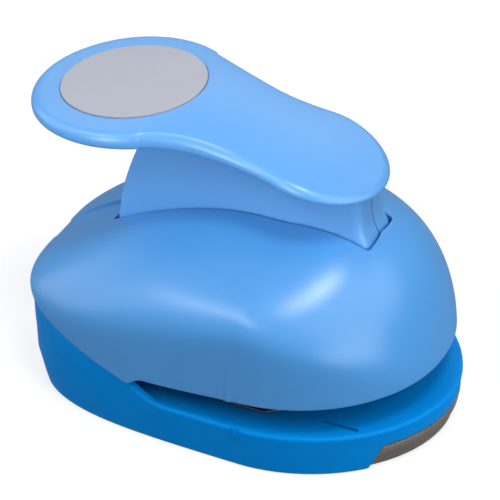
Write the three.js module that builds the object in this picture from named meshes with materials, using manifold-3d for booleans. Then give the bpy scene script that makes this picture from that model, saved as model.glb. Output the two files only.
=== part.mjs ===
// A lever-operated craft punch for paper and card.
// The base carries a steel die plate. The housing above it carries a guide plate and the lever's pivot.
// Pressing the wide rear end of the lever pushes a sprung press block and its cutter through the die,
// and the cut pieces fall into a drawer that pulls out of the nose of the base.
//
// Frame, in millimetres: +X towards the nose, where paper goes in, +Y to the left, +Z up.
// The origin is on the resting plane, under the middle of the base's length.

import * as THREE from "three";
import { mergeVertices } from "three/addons/utils/BufferGeometryUtils.js";
import Module from "manifold-3d";

const wasm = await Module();
wasm.setup();

// ---------------------------------------------------------------- driving dimensions

const GAP = 0.3; // clearance between pieces that touch
const WALL = 2.2; // moulded walls

// Plan outlines: two half superellipses that meet at the punch's widest station.
const WIDE_X = 13.1;
const DECK_OUTLINE = { front: 46.9, rear: 73.1, half: 41.6, frontPower: 1.9, rearPower: 3.8 };
const DOME_OUTLINE = { front: 43.95, rear: 75.8, half: 41.28, frontPower: 2.01, rearPower: 2.91 };
const DOME_FLARE = 3.8; // the housing stands proud of the base behind the throat
const OUTLINE_STEPS = 48;
const ROUND_STEPS = 36; // sides of the large round pieces

// Base
const DECK_TOP = 13.3;
const DECK_BOTTOM = 9.9;
const BASE_WALL = 2.4;
const FOOT_INSET = 1.2;
const REAR_LEAN = 1.4; // how much more the rear wall leans in towards its foot
const COVER_THICK = 1.8;
const SEAM_X = -19.5; // the corner where the housing leaves the base and the throat begins
const SEAM_Z = 17.7;
const SEAM_SLOPE = -0.31;
const ABOVE = 80; // higher than the housing, for cutting
const SIDE = 50; // wider than the punch on either side, for cutting
const REAR_X = -75; // beyond the rear, for cutting profiles
const FRONT_X = 75; // beyond the nose

// Housing
const DOME_FOOT = 21.6;
const DOME_TOP = 60.9;
// The crown sinks by DROP times share ** POWER; the wall and top powers close it down to its foot.
const CROWN_DROP = { front: 27.5, side: 13.2, rear: 19.5 };
const CROWN_POWER = { front: 3.64, side: 1.58, rear: 1.87 };
const WALL_POWER = { front: 12.9, side: 7, rear: 2 };
const TOP_POWER = { front: 1.64, side: 12, rear: 2.45 };
const TURN_POWER = 1.46; // how quickly the front and rear shapes pass into the side's
const SLOT_FRONT = 36.3;
const SLOT_REAR = -39.9;
const SLOT_HALF = 8.9;
const CHANNEL_HALF = 5;
const THROAT_EDGE = 20.25;
const THROAT_SLOPE = 0.05;

// Lever
const PIVOT = { x: 42, z: 39.5 };
const PIN_R = 2;
const PIN_HALF = 14;
const CHEEK = { inner: 9.6, outer: 12.6 }; // the housing walls that hold the pin
const ARM_RADIUS = 80.6; // the rear edge of the arm is an arc about the pivot
const ARM_HALF = 8.3;
const HUB_R = 4.3;
const ARM_WALL = 1.9;
const PARTING = 0.4; // the parting groove down the arm's front
const ARM_BOTTOM = 38.5;
const PADDLE_REAR = { x: -36.3, r: 28.1 };
const PADDLE_FRONT = { x: 17.4, r: 19.35 };
const PADDLE_NECK = { x: 3.05, half: 18, r: 57, from: -23.8, to: 13.8 };
const NOSE = { x: 11, z: 40.5, r: 4 };
const LABEL = { x: -36.5, z: 86.6, r: 20, thick: 0.8, slope: 0.082 };

// Punching parts
const DIE_X = 11;
const CUTTER_R = 19;
const PLATE_THICK = 1.5;
const DIE_PLATE_Z = 12;
const GUIDE_PLATE_Z = 15;
const CUTTER_BOTTOM = 15.4;
const BLOCK_BOTTOM = 23.3;
const BLOCK_R = 18;
const WING_BOTTOM = 29;
const WING_TOP = 32;
const PAD_TOP = 36.2;
const POST_Y = 27;
const POST_R = 2.4;
const SPRING = { bottom: 16.9, top: 28.7, r: 4.2, wire: 0.5, turns: 5 };
const CUTTER_SCREW_Y = 12;
const RIVET_X = [-24, -38];
const RIVET_Y = 20;
const RIVET_R = 2;
const COLLAR_R = 4.5;
const PLATE_SCREW = { x: 25, y: 21.5 };

// Screws that join the base to the housing
const HOUSING_SCREWS = [
  { x: -50, y: 18 },
  { x: -28, y: 33 },
];
const BOSS_R = 4.2;
const FRONT_BOSS_R = 3.8; // the plate screws drive into these
const HEAD_BORE_R = 3.2;
const SHANK_BORE_R = 1.7;
const PILOT_R = 1.6;
const SCREW_R = 1.3;
const SCREW_HEAD_R = 2.8;
const BOSS_MEET = 16.2;

// Chip tray
const TRAY_REAR = -20;
const TRAY_HALF = 24.4;
const TRAY_TOP = 7.5;
const TRAY_FLOOR = 2.1;
const TRAY_WALL = 1.2;
const TRAY_FACE_X = 44;
const MOUTH_TOP_HALF = 25;
const MOUTH_BOTTOM_HALF = 27;

// ---------------------------------------------------------------- solids

function solidFrom(points, faces) {
  const vertProperties = new Float32Array(points.flat());
  const triVerts = new Uint32Array(faces.flat());
  return new wasm.Manifold(new wasm.Mesh({ numProp: 3, vertProperties, triVerts }));
}

function solidOf(geometry) {
  geometry.deleteAttribute("normal");
  geometry.deleteAttribute("uv");
  const merged = mergeVertices(geometry, 1e-4);
  return new wasm.Manifold(
    new wasm.Mesh({
      numProp: 3,
      vertProperties: merged.attributes.position.array,
      triVerts: new Uint32Array(merged.index.array),
    }),
  );
}

function join(...solids) {
  return solids.reduce((whole, next) => whole.add(next));
}

function cut(solid, ...tools) {
  return tools.reduce((whole, tool) => whole.subtract(tool), solid);
}

// A solid through a stack of rings, each a list of [x, y, z] that runs anticlockwise seen from above.
function loft(rings) {
  const count = rings[0].length;
  const points = rings.flat();
  const faces = [];
  for (let level = 0; level + 1 < rings.length; level += 1) {
    for (let i = 0; i < count; i += 1) {
      const a = level * count + i;
      const b = level * count + ((i + 1) % count);
      faces.push([a, b, b + count], [a, b + count, a + count]);
    }
  }
  const last = (rings.length - 1) * count;
  points.push([WIDE_X, 0, rings[0][0][2]]);
  points.push([WIDE_X, 0, rings[rings.length - 1][0][2]]);
  for (let i = 0; i < count; i += 1) {
    const next = (i + 1) % count;
    faces.push([points.length - 2, next, i]);
    faces.push([points.length - 1, last + i, last + next]);
  }
  return solidFrom(points, faces);
}

function box(x0, x1, y0, y1, z0, z1) {
  const geometry = new THREE.BoxGeometry(x1 - x0, y1 - y0, z1 - z0);
  geometry.translate((x0 + x1) / 2, (y0 + y1) / 2, (z0 + z1) / 2);
  return solidOf(geometry);
}

function post(x, y, r, z0, z1, sides = 16) {
  const geometry = new THREE.CylinderGeometry(r, r, z1 - z0, sides);
  geometry.rotateX(Math.PI / 2);
  geometry.translate(x, y, (z0 + z1) / 2);
  return solidOf(geometry);
}

function crossBar(x, z, r, half, sides = 20) {
  const geometry = new THREE.CylinderGeometry(r, r, 2 * half, sides);
  geometry.translate(x, 0, z);
  return solidOf(geometry);
}

function shapeOf(points) {
  return new THREE.Shape(points.map(([u, v]) => new THREE.Vector2(u, v)));
}

// A side profile, drawn as [x, z], carried from y0 to y1.
function sidePrism(points, y0, y1) {
  const geometry = new THREE.ExtrudeGeometry(shapeOf(points), { depth: y1 - y0, bevelEnabled: false });
  geometry.rotateX(Math.PI / 2);
  geometry.translate(0, y1, 0);
  return solidOf(geometry);
}

// A plan, drawn as [x, y], carried from z0 to z1.
function planPrism(points, z0, z1) {
  const geometry = new THREE.ExtrudeGeometry(shapeOf(points), { depth: z1 - z0, bevelEnabled: false });
  geometry.translate(0, 0, z0);
  return solidOf(geometry);
}

// A front profile, drawn as [y, z], carried from x0 to x1.
function frontPrism(points, x0, x1) {
  const geometry = new THREE.ExtrudeGeometry(shapeOf(points), { depth: x1 - x0, bevelEnabled: false });
  geometry.rotateX(Math.PI / 2);
  geometry.rotateZ(Math.PI / 2);
  geometry.translate(x0, 0, 0);
  return solidOf(geometry);
}

function mirrored(makeSolid) {
  return join(makeSolid(1), makeSolid(-1));
}

// ---------------------------------------------------------------- plan outlines

function outlineRadius(angle, outline) {
  const along = Math.abs(Math.cos(angle));
  const across = Math.abs(Math.sin(angle));
  const ahead = Math.cos(angle) > 0;
  const reach = ahead ? outline.front : outline.rear;
  const power = ahead ? outline.frontPower : outline.rearPower;
  return 1 / ((along / reach) ** power + (across / outline.half) ** power) ** (1 / power);
}

function ring(radiusAt, heightAt) {
  const points = [];
  for (let i = 0; i < OUTLINE_STEPS; i += 1) {
    const angle = (2 * Math.PI * i) / OUTLINE_STEPS;
    const r = radiusAt(angle);
    points.push([WIDE_X + r * Math.cos(angle), r * Math.sin(angle), heightAt(angle)]);
  }
  return points;
}

function outlineRing(outline, inset, z) {
  return ring((angle) => outlineRadius(angle, outline) - inset, () => z);
}

// ---------------------------------------------------------------- base

// The height where the housing meets the base behind the throat.
function seamAt(x) {
  return SEAM_Z + SEAM_SLOPE * (x - SEAM_X);
}

function baseBlock() {
  const lean = (angle) => FOOT_INSET + REAR_LEAN * Math.max(0, -Math.cos(angle)) ** 2;
  const outside = loft([
    ring((angle) => outlineRadius(angle, DECK_OUTLINE) - lean(angle), () => 0),
    outlineRing(DECK_OUTLINE, 0, DECK_TOP - 1),
    outlineRing(DECK_OUTLINE, 0, ABOVE / 2),
  ]);
  const above = sidePrism(
    [
      [REAR_X, seamAt(REAR_X) - GAP],
      [SEAM_X, SEAM_Z - GAP],
      [SEAM_X + 3, 15.4],
      [SEAM_X + 6.5, 13.8],
      [SEAM_X + 10, DECK_TOP],
      [FRONT_X, DECK_TOP],
      [FRONT_X, ABOVE],
      [REAR_X, ABOVE],
    ],
    -SIDE,
    SIDE,
  );
  return cut(outside, above);
}

// The opening in the nose that the chip tray's front fills.
function trayMouth(shrink) {
  const profile = [
    [-MOUTH_BOTTOM_HALF + shrink, shrink - 1],
    [MOUTH_BOTTOM_HALF - shrink, shrink - 1],
    [MOUTH_TOP_HALF - shrink, TRAY_TOP + GAP - shrink],
    [-MOUTH_TOP_HALF + shrink, TRAY_TOP + GAP - shrink],
  ];
  return frontPrism(profile, TRAY_FACE_X - 6, FRONT_X);
}

function base() {
  const below = loft([
    outlineRing(DECK_OUTLINE, BASE_WALL + FOOT_INSET, -1),
    outlineRing(DECK_OUTLINE, BASE_WALL, DECK_BOTTOM),
  ]);
  const above = loft([
    outlineRing(DECK_OUTLINE, BASE_WALL, DECK_TOP),
    outlineRing(DECK_OUTLINE, BASE_WALL, ABOVE / 2 + 5),
  ]);
  const shell = cut(baseBlock(), below, above, trayMouth(0));
  const bosses = HOUSING_SCREWS.map(({ x, y }) =>
    mirrored((side) => post(x, side * y, BOSS_R, COVER_THICK + GAP, BOSS_MEET)),
  );
  const counterbores = HOUSING_SCREWS.map(({ x, y }) =>
    mirrored((side) =>
      join(post(x, side * y, HEAD_BORE_R, 0, DECK_BOTTOM), post(x, side * y, SHANK_BORE_R, 0, BOSS_MEET + 1)),
    ),
  );
  return cut(
    join(shell, ...bosses),
    ...counterbores,
    planPrism(plateOutline(GAP), DIE_PLATE_Z - GAP, DECK_TOP + 1),
    post(DIE_X, 0, CUTTER_R + 2, 0, DECK_TOP, ROUND_STEPS),
  );
}

function bottomCover() {
  const plate = loft([
    outlineRing(DECK_OUTLINE, BASE_WALL + FOOT_INSET + GAP, 0),
    outlineRing(DECK_OUTLINE, BASE_WALL + FOOT_INSET + GAP, COVER_THICK),
  ]);
  const holes = HOUSING_SCREWS.map(({ x, y }) => mirrored((side) => post(x, side * y, HEAD_BORE_R, -1, 5)));
  return cut(plate, box(TRAY_FACE_X + 2, FRONT_X, -SIDE, SIDE, -1, 5), ...holes);
}

function chipTray() {
  const face = cut(
    baseBlock().intersect(trayMouth(GAP)),
    box(REAR_X, TRAY_FACE_X, -SIDE, SIDE, -1, 20),
    box(REAR_X, FRONT_X, -SIDE, SIDE, -1, GAP),
    loft([outlineRing(DECK_OUTLINE, 3.6, -1), outlineRing(DECK_OUTLINE, 3.6, 20)]),
  );
  const nose = loft([
    outlineRing(DECK_OUTLINE, 3, TRAY_FLOOR),
    outlineRing(DECK_OUTLINE, 3, TRAY_TOP),
  ]);
  const body = box(TRAY_REAR, FRONT_X, -TRAY_HALF, TRAY_HALF, TRAY_FLOOR, TRAY_TOP).intersect(nose);
  const hollowNose = loft([
    outlineRing(DECK_OUTLINE, 4.6, TRAY_FLOOR + TRAY_WALL),
    outlineRing(DECK_OUTLINE, 4.6, 20),
  ]);
  const hollow = box(
    TRAY_REAR + TRAY_WALL,
    FRONT_X,
    -TRAY_HALF + TRAY_WALL,
    TRAY_HALF - TRAY_WALL,
    TRAY_FLOOR + TRAY_WALL,
    20,
  ).intersect(hollowNose);
  return join(face, cut(body, hollow));
}

// ---------------------------------------------------------------- steel plates and punch

function plateOutline(grow) {
  const half = [
    [36 + grow, 0],
    [36 + grow, 17],
    [17, 32 + grow],
    [-16 - grow, 32 + grow],
    [-21 - grow, 27 + grow],
    [-42 - grow, 27 + grow],
    [-42 - grow, 0],
  ];
  const otherHalf = half.slice(1, -1).map(([x, y]) => [x, -y]);
  return [...half, ...otherHalf.reverse()];
}

function plate(z) {
  const blank = planPrism(plateOutline(0), z, z + PLATE_THICK);
  const rivets = RIVET_X.map((x) => mirrored((side) => post(x, side * RIVET_Y, RIVET_R + GAP, 0, 20)));
  return cut(blank, post(DIE_X, 0, CUTTER_R + GAP, 0, 20, ROUND_STEPS), ...rivets);
}

function diePlate() {
  return plate(DIE_PLATE_Z);
}

function guidePlate() {
  return cut(
    plate(GUIDE_PLATE_Z),
    mirrored((side) => post(DIE_X, side * POST_Y, POST_R + GAP, 0, 20)),
    mirrored((side) => post(PLATE_SCREW.x, side * PLATE_SCREW.y, SHANK_BORE_R, 0, 20)),
  );
}

// A rivet that holds the two plates apart by its collar.
function plateRivet(x, y) {
  const shank = post(x, y, RIVET_R, DIE_PLATE_Z, GUIDE_PLATE_Z + PLATE_THICK);
  const collar = post(x, y, COLLAR_R, DIE_PLATE_Z + PLATE_THICK + GAP, GUIDE_PLATE_Z - GAP);
  return join(shank, collar);
}

function guidePost(side) {
  const y = side * POST_Y;
  const shaft = post(DIE_X, y, POST_R, GUIDE_PLATE_Z, WING_TOP + 1);
  const head = post(DIE_X, y, 4, WING_TOP + GAP, WING_TOP + 2.3);
  return join(shaft, head);
}

class Helix extends THREE.Curve {
  getPoint(t, target = new THREE.Vector3()) {
    const angle = 2 * Math.PI * SPRING.turns * t;
    const rise = SPRING.top - SPRING.bottom - 2 * SPRING.wire;
    const z = SPRING.bottom + SPRING.wire + rise * t;
    return target.set(SPRING.r * Math.cos(angle), SPRING.r * Math.sin(angle), z);
  }
}

function returnSpring(side) {
  const section = new THREE.Shape();
  section.absarc(0, 0, SPRING.wire, 0, 2 * Math.PI);
  const geometry = new THREE.ExtrudeGeometry(section, {
    steps: 11 * SPRING.turns,
    curveSegments: 3, // six sides
    extrudePath: new Helix(),
    bevelEnabled: false,
  });
  geometry.translate(DIE_X, side * POST_Y, 0);
  return solidOf(geometry);
}

function pressBlock() {
  const body = post(DIE_X, 0, BLOCK_R, BLOCK_BOTTOM, WING_TOP, ROUND_STEPS);
  const wings = box(DIE_X - 6, DIE_X + 6, -32, 32, WING_BOTTOM, WING_TOP);
  const pad = box(DIE_X - 8, DIE_X + 8, -6, 6, WING_TOP - 1, PAD_TOP);
  return cut(
    join(body, wings, pad),
    mirrored((side) => post(DIE_X, side * POST_Y, POST_R + GAP, 20, 40)),
    mirrored((side) => post(DIE_X, side * CUTTER_SCREW_Y, PILOT_R, 20, 40)),
    mirrored((side) => post(DIE_X, side * CUTTER_SCREW_Y, HEAD_BORE_R, WING_BOTTOM, 40)),
  );
}

function punchCutter() {
  const body = post(DIE_X, 0, CUTTER_R, CUTTER_BOTTOM, BLOCK_BOTTOM - GAP, ROUND_STEPS);
  return cut(body, mirrored((side) => post(DIE_X, side * CUTTER_SCREW_Y, PILOT_R, 17, 40)));
}

function screw(x, y, headZ0, headZ1, headR, shankEnd) {
  const head = post(x, y, headR, headZ0, headZ1);
  const shank = post(x, y, SCREW_R, Math.min(headZ1 - 0.5, shankEnd), Math.max(headZ0 + 0.5, shankEnd), 12);
  return join(head, shank);
}

function cutterScrew(side) {
  return screw(DIE_X, side * CUTTER_SCREW_Y, WING_BOTTOM + GAP, 31.5, SCREW_HEAD_R, 18);
}

function plateScrew(side) {
  return screw(PLATE_SCREW.x, side * PLATE_SCREW.y, 13.9, 14.7, 3, 27);
}

function housingScrew(x, y) {
  return screw(x, y, 7, DECK_BOTTOM - GAP, SCREW_HEAD_R, 27);
}

// ---------------------------------------------------------------- housing

// A driving value that changes from the housing's side to its front or its rear.
function around(angle, values) {
  const end = Math.cos(angle) > 0 ? values.front : values.rear;
  return values.side + (end - values.side) * Math.abs(Math.cos(angle)) ** TURN_POWER;
}

function domeFoot(angle) {
  const behind = Math.max(0, -Math.cos(angle));
  return outlineRadius(angle, DOME_OUTLINE) + DOME_FLARE * behind ** 1.5;
}

// One point of the dome, [distance, height]: level 0 is its foot, 1 its shoulder and 2 its top.
function domePoint(angle, level, inset) {
  const wall = around(angle, WALL_POWER);
  const top = around(angle, TOP_POWER);
  const turn = (Math.PI / 2) * (1 - Math.min(level, 1) / 2);
  const shoulder = Math.sin(turn) ** (2 / wall);
  const share = level > 1 ? shoulder * (2 - level) : shoulder;
  const close = (1 - share ** wall) ** (1 / top);
  const crown = DOME_TOP - inset - around(angle, CROWN_DROP) * share ** around(angle, CROWN_POWER);
  return [(domeFoot(angle) - inset) * share, DOME_FOOT + (crown - DOME_FOOT) * close];
}

function domeSolid(inset) {
  const levels = [0, 0.15, 0.3, 0.47, 0.65, 0.84, 1.05, 1.4, 1.85];
  const rings = levels.map((level) =>
    ring(
      (angle) => domePoint(angle, level, inset)[0],
      (angle) => domePoint(angle, level, inset)[1],
    ),
  );
  const foot = ring((angle) => domeFoot(angle) - inset, () => 5);
  return loft([foot, ...rings]);
}

// Everything under the housing's lower edge.
function underHousing() {
  return sidePrism(
    [
      [REAR_X, 0],
      [FRONT_X, 0],
      [FRONT_X, THROAT_EDGE + THROAT_SLOPE * (FRONT_X - SEAM_X)],
      [SEAM_X + 4, THROAT_EDGE],
      [SEAM_X + 1.6, SEAM_Z + 1.5],
      [SEAM_X, SEAM_Z],
      [REAR_X, seamAt(REAR_X)],
    ],
    -SIDE,
    SIDE,
  );
}

// The shallow channel that runs back from the lever's slot, with its floor lowered by depth.
function rearChannel(half, depth) {
  const floor = [
    [SLOT_REAR + 1, 44 - depth],
    [-50, 38.6 - depth],
    [-61, 30.8 - depth],
  ];
  return sidePrism([...floor, [-70, 30.8 - depth], [-70, 60], [SLOT_REAR + 1, 60]], -half, half);
}

function pivotCheek(side) {
  const profile = [
    [PIVOT.x - 6, PIVOT.z - 3],
    [PIVOT.x - 3, PIVOT.z - 5.5],
    [PIVOT.x + 3, PIVOT.z - 5.5],
    [PIVOT.x + 6, PIVOT.z - 3],
    [PIVOT.x + 7, 60],
    [PIVOT.x - 7, 60],
  ];
  return side > 0
    ? sidePrism(profile, CHEEK.inner, CHEEK.outer)
    : sidePrism(profile, -CHEEK.outer, -CHEEK.inner);
}

function upperHousing() {
  const skin = domeSolid(0);
  const core = domeSolid(1);
  const inside = domeSolid(WALL).subtract(rearChannel(CHANNEL_HALF + WALL, WALL));
  const bosses = HOUSING_SCREWS.map(({ x, y }) =>
    mirrored((side) => post(x, side * y, BOSS_R, BOSS_MEET + GAP, 60).intersect(core)),
  );
  const frontBosses = mirrored((side) =>
    post(PLATE_SCREW.x, side * PLATE_SCREW.y, FRONT_BOSS_R, GUIDE_PLATE_Z + PLATE_THICK + GAP, 60).intersect(core),
  );
  const cheeks = mirrored((side) => pivotCheek(side).intersect(core));
  const pilots = HOUSING_SCREWS.map(({ x, y }) => mirrored((side) => post(x, side * y, PILOT_R, 10, 28)));
  const shell = cut(skin, inside, underHousing());
  const slot = box(SLOT_REAR, SLOT_FRONT, -SLOT_HALF, SLOT_HALF, 30, ABOVE);
  return cut(
    join(shell, ...bosses, frontBosses, cheeks),
    slot,
    rearChannel(CHANNEL_HALF, 0),
    crossBar(PIVOT.x, PIVOT.z, PIN_R + GAP, 20),
    mirrored((side) => post(PLATE_SCREW.x, side * PLATE_SCREW.y, PILOT_R, 10, 28)),
    ...pilots,
  );
}

function pivotPin() {
  return crossBar(PIVOT.x, PIVOT.z, PIN_R, PIN_HALF);
}

// ---------------------------------------------------------------- lever

// Half-width of the paddle: a wide rear lobe and a smaller front lobe, joined by a waist.
function paddleHalf(x) {
  if (x < PADDLE_NECK.from) return Math.sqrt(Math.max(0, PADDLE_REAR.r ** 2 - (x - PADDLE_REAR.x) ** 2));
  if (x > PADDLE_NECK.to) return Math.sqrt(Math.max(0, PADDLE_FRONT.r ** 2 - (x - PADDLE_FRONT.x) ** 2));
  const waistY = PADDLE_NECK.half + PADDLE_NECK.r;
  return waistY - Math.sqrt(PADDLE_NECK.r ** 2 - (x - PADDLE_NECK.x) ** 2);
}

// Stations along the paddle, closer together at its round ends.
function paddleStations() {
  const rear = PADDLE_REAR.x - PADDLE_REAR.r;
  const front = PADDLE_FRONT.x + PADDLE_FRONT.r;
  const count = 26;
  const stations = [];
  for (let i = 0; i <= count; i += 1) {
    const across = (1 - Math.cos((Math.PI * i) / count)) / 2;
    stations.push(rear + (front - rear) * across);
  }
  return stations;
}

function splineProfile(points) {
  const curve = new THREE.SplineCurve(points.map(([x, z]) => new THREE.Vector2(x, z)));
  return curve.getPoints(3 * points.length).map((p) => [p.x, p.y]);
}

const PADDLE_TOP = splineProfile([
  [-65.5, 83.9],
  [-36.5, 86.6],
  [-17, 87.9],
  [0, 84.8],
  [18, 80.7],
  [37.5, 74.6],
]);
const PADDLE_UNDER = splineProfile([
  [-65.5, 79.8],
  [-36.5, 81.1],
  [-17, 81.4],
  [0, 78.8],
  [18, 75.6],
  [37.5, 71.2],
]);

function paddle() {
  const stations = paddleStations();
  const left = stations.map((x) => [x, paddleHalf(x)]);
  const right = stations
    .slice(1, -1)
    .reverse()
    .map((x) => [x, -paddleHalf(x)]);
  const plan = planPrism([...left.reverse(), ...right.reverse()], 60, 100);
  const side = sidePrism([...PADDLE_UNDER, ...[...PADDLE_TOP].reverse()], -40, 40);
  return side.intersect(plan);
}

// The outside of the hollow arm, shrunk on every side but its open bottom.
function armProfile(shrink) {
  const topCover = 1.5 - shrink;
  const rear = ARM_RADIUS - shrink;
  const top = PADDLE_UNDER.filter(([x]) => x > -26 && x < 32).map(([x, z]) => [x, z + topCover]);
  const arc = [];
  const start = Math.asin((ARM_BOTTOM - PIVOT.z - 1) / rear);
  const end = Math.asin((82 - PIVOT.z) / rear);
  const steps = 12;
  for (let i = 0; i <= steps; i += 1) {
    const angle = start + ((end - start) * i) / steps;
    arc.push([PIVOT.x - rear * Math.cos(angle), PIVOT.z + rear * Math.sin(angle)]);
  }
  const arcBelowPaddle = arc.filter(([, z]) => z < 80);
  return [
    ...arcBelowPaddle.reverse(),
    [PIVOT.x - 4, ARM_BOTTOM - 1],
    [PIVOT.x + 3 - shrink, PIVOT.z + 1.2],
    [36.4 - shrink, 53],
    [35.3 - shrink, 58],
    [33.4 - shrink, 66],
    [32.8 - shrink, 74 + topCover],
    ...top.reverse(),
  ];
}

function lever() {
  const floor = box(REAR_X, FRONT_X, -20, 20, 0, ARM_BOTTOM);
  const outside = sidePrism(armProfile(0), -ARM_HALF, ARM_HALF).subtract(floor);
  const inside = sidePrism(armProfile(ARM_WALL), -ARM_HALF + ARM_WALL, ARM_HALF - ARM_WALL);
  const ribs = [-22, -6, 24].map((x) => box(x, x + 1.6, -ARM_HALF + 1, ARM_HALF - 1, ARM_BOTTOM + 4, 77));
  const nose = crossBar(NOSE.x, NOSE.z, NOSE.r, ARM_HALF - 1);
  const hub = crossBar(PIVOT.x, PIVOT.z, HUB_R, ARM_HALF);
  const stopLip = box(-40.6, -37, -ARM_HALF + 1, ARM_HALF - 1, ARM_BOTTOM, ARM_BOTTOM + 1.6);
  const pocket = labelBlank(LABEL.r + GAP, -GAP, 6);
  return cut(
    join(cut(outside, inside), paddle(), ...ribs, nose, hub, stopLip),
    crossBar(PIVOT.x, PIVOT.z, PIN_R + GAP, 20),
    box(31, 45, -PARTING / 2, PARTING / 2, 50, 69),
    pocket,
  );
}

// A disc that lies on the paddle's slope, from one height above the label's underside to another.
function labelBlank(r, from, to) {
  const geometry = new THREE.CylinderGeometry(r, r, to - from, ROUND_STEPS);
  geometry.rotateX(Math.PI / 2);
  geometry.translate(0, 0, (from + to) / 2 - LABEL.thick + 0.2);
  geometry.rotateY(-Math.atan(LABEL.slope));
  geometry.translate(LABEL.x, 0, LABEL.z);
  return solidOf(geometry);
}

function labelDisc() {
  return labelBlank(LABEL.r, 0, LABEL.thick);
}

// ---------------------------------------------------------------- materials and assembly

function plastic(color, roughness) {
  return new THREE.MeshStandardMaterial({ color, roughness, metalness: 0 });
}

function steel(color, roughness) {
  return new THREE.MeshStandardMaterial({ color, roughness, metalness: 1 });
}

const baseBlue = plastic(0x0074c4, 0.45);
const housingBlue = plastic(0x68a6ef, 0.42);
const leverBlue = plastic(0x7ab3f2, 0.4);
const labelGrey = plastic(0xacb0bb, 0.5);
const blockGrey = plastic(0x3c4046, 0.6);
const plateSteel = steel(0xb8bcc2, 0.35);
const screwSteel = steel(0x8f949a, 0.3);
const springSteel = steel(0xc4c8cc, 0.25);
const smokedPlastic = new THREE.MeshStandardMaterial({
  color: 0x9a938d,
  roughness: 0.3,
  metalness: 0,
  transparent: true,
  opacity: 0.7,
});

const punch = new THREE.Group();
punch.name = "craft_punch";

function place(name, solid, material) {
  const mesh = solid.getMesh();
  const geometry = new THREE.BufferGeometry();
  geometry.setAttribute("position", new THREE.BufferAttribute(mesh.vertProperties, 3));
  geometry.setIndex(new THREE.BufferAttribute(mesh.triVerts, 1));
  geometry.computeVertexNormals();
  const node = new THREE.Mesh(geometry, material);
  node.name = name;
  punch.add(node);
}

place("base", base(), baseBlue);
place("bottom_cover", bottomCover(), baseBlue);
place("chip_tray", chipTray(), smokedPlastic);
place("die_plate", diePlate(), plateSteel);
place("guide_plate", guidePlate(), plateSteel);
place("press_block", pressBlock(), blockGrey);
place("punch_cutter", punchCutter(), plateSteel);
place("upper_housing", upperHousing(), housingBlue);
place("pivot_pin", pivotPin(), screwSteel);
place("lever", lever(), leverBlue);
place("label_disc", labelDisc(), labelGrey);

const SIDES = { left: 1, right: -1 };
for (const [word, side] of Object.entries(SIDES)) {
  place(`guide_post_${word}`, guidePost(side), screwSteel);
  place(`return_spring_${word}`, returnSpring(side), springSteel);
  place(`cutter_screw_${word}`, cutterScrew(side), screwSteel);
  place(`plate_screw_${word}`, plateScrew(side), screwSteel);
  RIVET_X.forEach((x, i) => {
    place(`plate_rivet_${word}_${i + 1}`, plateRivet(x, side * RIVET_Y), screwSteel);
  });
  HOUSING_SCREWS.forEach(({ x, y }, i) => {
    place(`housing_screw_${word}_${i + 1}`, housingScrew(x, side * y), screwSteel);
  });
}

export default punch;
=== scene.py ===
import math

import bmesh
import bpy
import numpy as np
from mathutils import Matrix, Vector


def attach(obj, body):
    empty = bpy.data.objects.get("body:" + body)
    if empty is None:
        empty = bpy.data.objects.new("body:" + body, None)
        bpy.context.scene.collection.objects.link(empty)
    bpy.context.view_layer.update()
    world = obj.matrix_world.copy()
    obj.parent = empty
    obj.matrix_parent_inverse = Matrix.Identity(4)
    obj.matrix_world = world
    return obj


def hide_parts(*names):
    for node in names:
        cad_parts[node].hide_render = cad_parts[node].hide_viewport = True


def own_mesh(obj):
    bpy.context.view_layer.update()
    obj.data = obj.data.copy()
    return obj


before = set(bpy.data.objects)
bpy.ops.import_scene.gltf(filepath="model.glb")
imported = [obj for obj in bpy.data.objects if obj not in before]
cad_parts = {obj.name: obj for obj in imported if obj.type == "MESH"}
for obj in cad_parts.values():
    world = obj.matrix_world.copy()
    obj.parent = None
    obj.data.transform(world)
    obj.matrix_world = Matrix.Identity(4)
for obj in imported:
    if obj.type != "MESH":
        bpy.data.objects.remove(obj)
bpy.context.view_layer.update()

# Lengths are millimetres in the part's own frame: +X to the nose, +Y to the left, +Z up.
MM = 0.001
GAP = 0.3

# Plan outlines: two half superellipses about the widest point of the body.
WIDE_X = 13.1
BASE_OUTLINE = {"front": 46.9, "rear": 73.1, "half": 41.6, "front_power": 1.9, "rear_power": 3.8}
DOME_OUTLINE = {"front": 43.95, "rear": 75.8, "half": 41.28, "front_power": 2.01, "rear_power": 2.91}
DOME_FLARE = 3.8

# The dome: a crown that sinks towards its edge, closed to the wall by a shoulder, at front, side and rear.
DOME_FOOT = 21.6
DOME_TOP = 60.9
CROWN_POWER = (3.64, 1.58, 1.87)
CROWN_DROP = (27.5, 13.2, 19.5)
WALL_POWER = (12.9, 7.0, 2.0)
TOP_POWER = (1.64, 12.0, 2.45)
TURN_POWER = (1.46, 1.2)
WALL = 2.2
FOOT_EDGE = 0.4
LIP_EDGE = 0.5

# The slot that the lever goes down, and the channel behind it.
SLOT_FRONT = 36.3
SLOT_REAR = -39.9
SLOT_HALF = 8.9
SLOT_CORNER = 1.4
CHANNEL_HALF = 5.0
CHANNEL_FLOOR = ((-62.5, 29.5), (-61, 30.8), (-50, 38.6), (-38.9, 44))

# The seam between housing and base, and the throat in front of it.
SEAM_X = -19.5
SEAM_Z = 17.7
SEAM_SLOPE = -0.31
THROAT_EDGE = 20.25
THROAT_SLOPE = 0.05
THROAT_STEP = 5.0

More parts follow.
